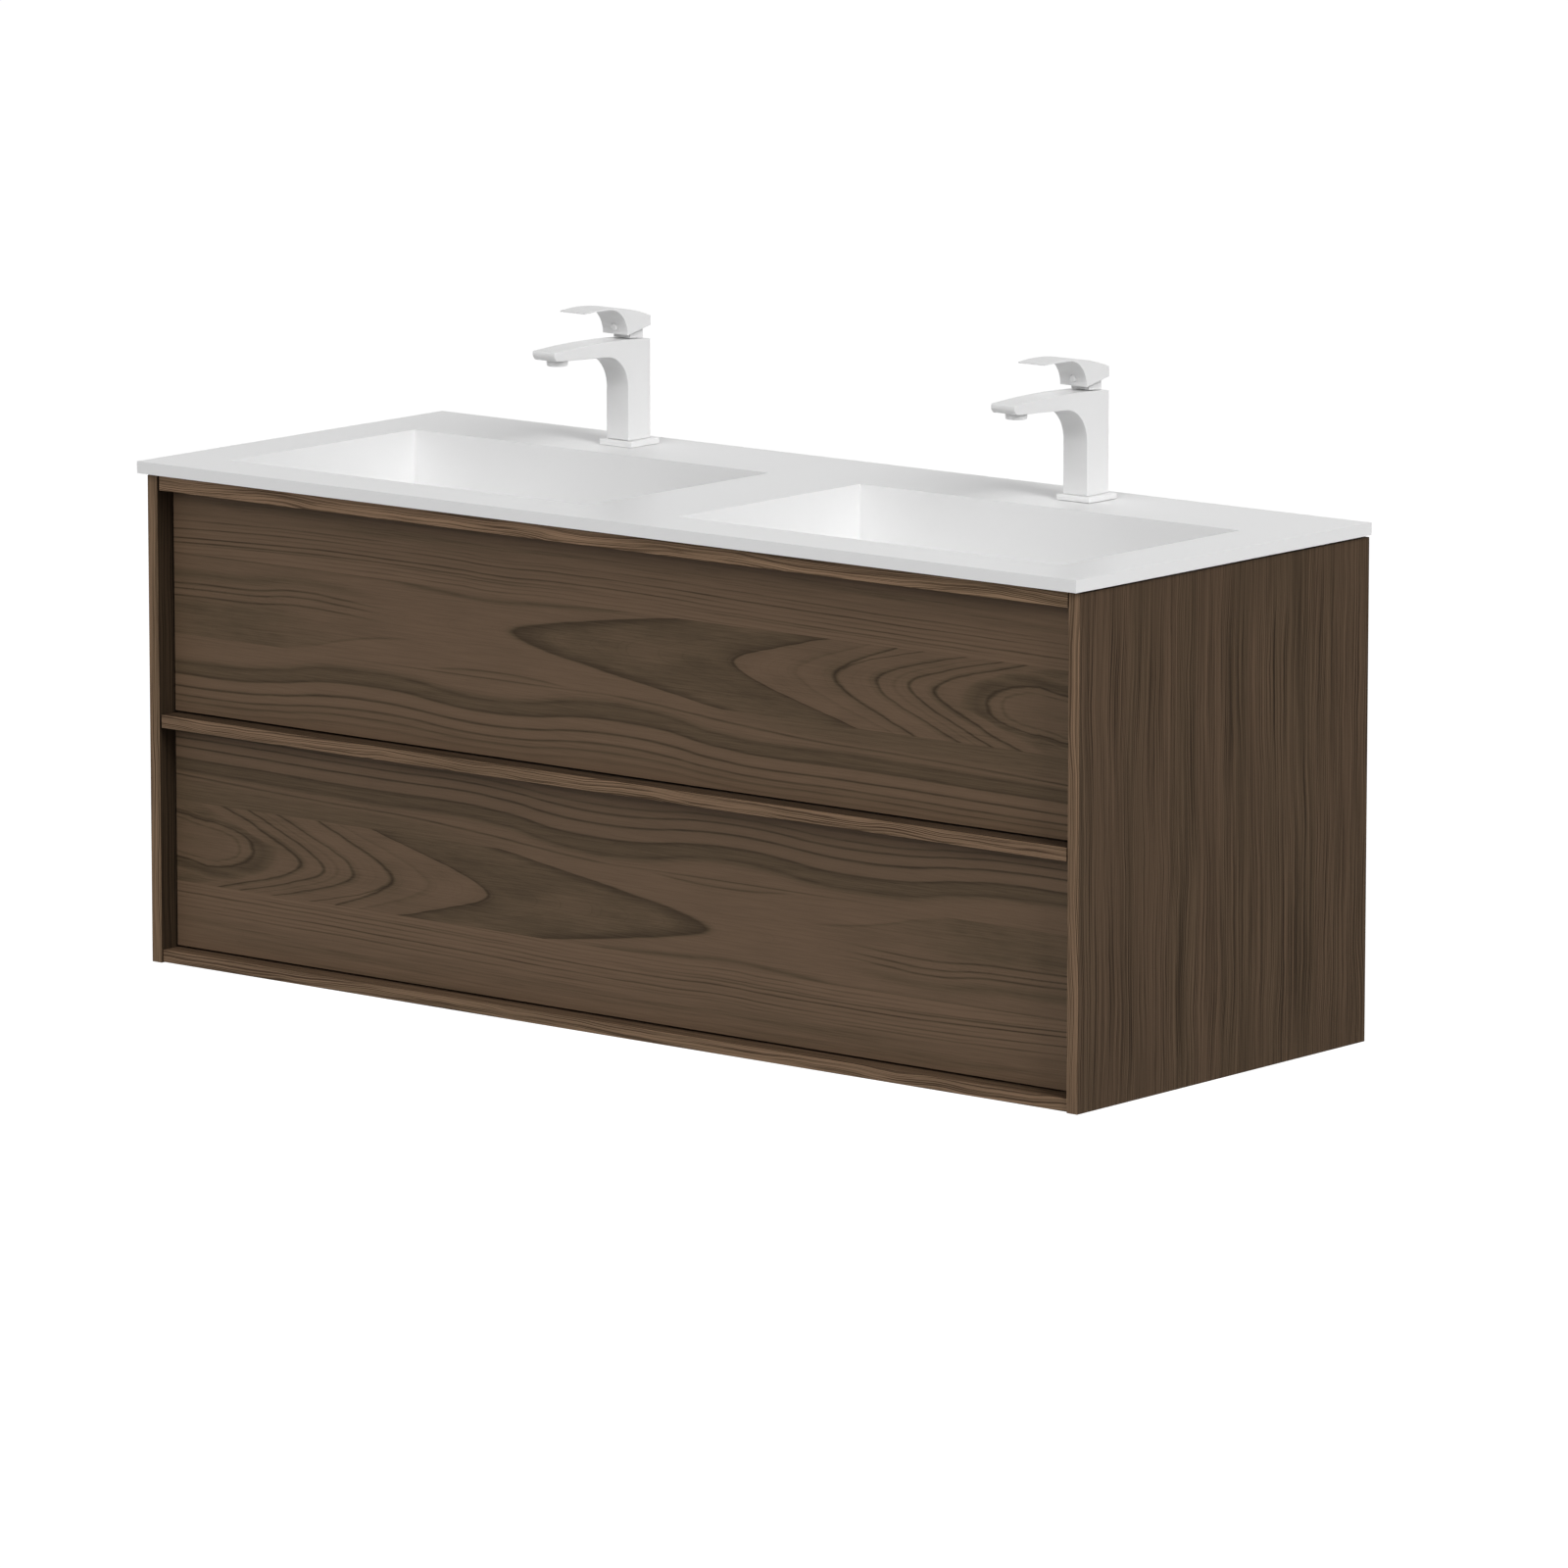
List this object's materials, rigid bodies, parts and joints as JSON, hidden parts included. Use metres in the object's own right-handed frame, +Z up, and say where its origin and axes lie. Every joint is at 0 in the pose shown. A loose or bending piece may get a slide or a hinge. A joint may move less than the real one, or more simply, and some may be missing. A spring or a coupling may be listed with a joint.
{
  "type": "bathroom vanity cabinet",
  "caption": "Wall-hung double vanity: walnut carcass with full-width drawers, moulded top with rectangular basins, and white single-lever mixer taps.",
  "frame": {"origin": "centre of the rear top rail's back face, in the wall plane, on the cabinet's centre line", "axes": "+X to the right seen from the front, +Y into the wall, +Z up; everything lies at y <= 0"},
  "size_m": [1.2086, 0.4698, 0.6642],
  "materials": {
    "walnut_carcass": "straight-grained walnut veneer, matt lacquer",
    "walnut_fronts": "cathedral-figured walnut veneer in three strips, matt lacquer",
    "walnut_rails": "fine-grained lighter walnut, matt lacquer",
    "drawer_box_wood": "plain drawer board, matt",
    "basin_top": "white cast mineral, satin",
    "tap_white": "satin white coating on brass",
    "waste_chrome": "polished",
    "trap_plastic": "white polypropylene, satin",
    "backnut_brass": "bare, turned",
    "hanger_steel": "zinc plated",
    "runner_steel": "zinc plated, rolled",
    "silicone": "matt"
  },
  "bodies": {
    "cabinet": {"basin_top": "basin_top", "bottom_panel": "walnut_carcass", "left_bedding_strip": "silicone", "left_hanger": "hanger_steel", "left_side_panel": "walnut_carcass", "left_tap_aerator": "tap_white", "left_tap_backnut": "backnut_brass", "left_tap_base": "tap_white", "left_tap_body": "tap_white", "left_trap_body": "trap_plastic", "left_trap_cup": "trap_plastic", "left_wall_plate": "hanger_steel", "left_waste_body": "waste_chrome", "left_waste_nut": "trap_plastic", "lower_left_runner_cabinet_member": "runner_steel", "lower_right_runner_cabinet_member": "runner_steel", "rear_bottom_rail": "walnut_carcass", "rear_top_rail": "walnut_carcass", "right_bedding_strip": "silicone", "right_hanger": "hanger_steel", "right_side_panel": "walnut_carcass", "right_tap_aerator": "tap_white", "right_tap_backnut": "backnut_brass", "right_tap_base": "tap_white", "right_tap_body": "tap_white", "right_trap_body": "trap_plastic", "right_trap_cup": "trap_plastic", "right_wall_plate": "hanger_steel", "right_waste_body": "waste_chrome", "right_waste_nut": "trap_plastic", "upper_left_runner_cabinet_member": "runner_steel", "upper_right_runner_cabinet_member": "runner_steel"},
    "left_tap_handle": {"left_tap_index_plug": "tap_white", "left_tap_lever": "tap_white"},
    "left_tap_turn": {"left_tap_neck": "tap_white"},
    "left_plug": {"left_waste_plug": "waste_chrome"},
    "lower_drawer": {"lower_back": "drawer_box_wood", "lower_bottom": "drawer_box_wood", "lower_front_panel": "walnut_fronts", "lower_handle_rail": "walnut_rails", "lower_left_runner_drawer_member": "runner_steel", "lower_left_side": "drawer_box_wood", "lower_right_runner_drawer_member": "runner_steel", "lower_right_side": "drawer_box_wood"},
    "lower_runner_middles": {"lower_left_runner_middle_member": "runner_steel", "lower_right_runner_middle_member": "runner_steel"},
    "right_tap_handle": {"right_tap_index_plug": "tap_white", "right_tap_lever": "tap_white"},
    "right_tap_turn": {"right_tap_neck": "tap_white"},
    "right_plug": {"right_waste_plug": "waste_chrome"},
    "upper_drawer": {"upper_back": "drawer_box_wood", "upper_bottom": "drawer_box_wood", "upper_front_panel": "walnut_fronts", "upper_handle_rail": "walnut_rails", "upper_left_runner_drawer_member": "runner_steel", "upper_left_side": "drawer_box_wood", "upper_right_runner_drawer_member": "runner_steel", "upper_right_side": "drawer_box_wood"},
    "upper_runner_middles": {"upper_left_runner_middle_member": "runner_steel", "upper_right_runner_middle_member": "runner_steel"}
  },
  "joints": [
    {"name": "upper_drawer_slide", "type": "slide", "parent": "cabinet", "child": "upper_drawer", "axis": [0, -1, 0], "range_m": [0, 0.38]},
    {"name": "upper_runner_slide", "type": "slide", "parent": "cabinet", "child": "upper_runner_middles", "axis": [0, -1, 0], "range_m": [0, 0.19]},
    {"name": "lower_drawer_slide", "type": "slide", "parent": "cabinet", "child": "lower_drawer", "axis": [0, -1, 0], "range_m": [0, 0.38]},
    {"name": "lower_runner_slide", "type": "slide", "parent": "cabinet", "child": "lower_runner_middles", "axis": [0, -1, 0], "range_m": [0, 0.19]},
    {"name": "left_tap_swivel", "type": "hinge", "parent": "cabinet", "child": "left_tap_turn", "pos_m": [-0.297, -0.0623, 0.1858], "axis": [0, 0, 1], "range_deg": [-45, 45]},
    {"name": "left_tap_lift", "type": "hinge", "parent": "left_tap_turn", "child": "left_tap_handle", "pos_m": [-0.297, -0.0623, 0.1858], "axis": [-1, 0, 0], "range_deg": [0, 25]},
    {"name": "left_plug_rise", "type": "slide", "parent": "cabinet", "child": "left_plug", "axis": [0, 0, 1], "range_m": [0, 0.008]},
    {"name": "right_tap_swivel", "type": "hinge", "parent": "cabinet", "child": "right_tap_turn", "pos_m": [0.297, -0.0623, 0.1858], "axis": [0, 0, 1], "range_deg": [-45, 45]},
    {"name": "right_tap_lift", "type": "hinge", "parent": "right_tap_turn", "child": "right_tap_handle", "pos_m": [0.297, -0.0623, 0.1858], "axis": [-1, 0, 0], "range_deg": [0, 25]},
    {"name": "right_plug_rise", "type": "slide", "parent": "cabinet", "child": "right_plug", "axis": [0, 0, 1], "range_m": [0, 0.008]}
  ],
  "couplings": [
    {"joint": "upper_runner_slide", "follows": "upper_drawer_slide", "ratio": 0.5},
    {"joint": "lower_runner_slide", "follows": "lower_drawer_slide", "ratio": 0.5}
  ]
}
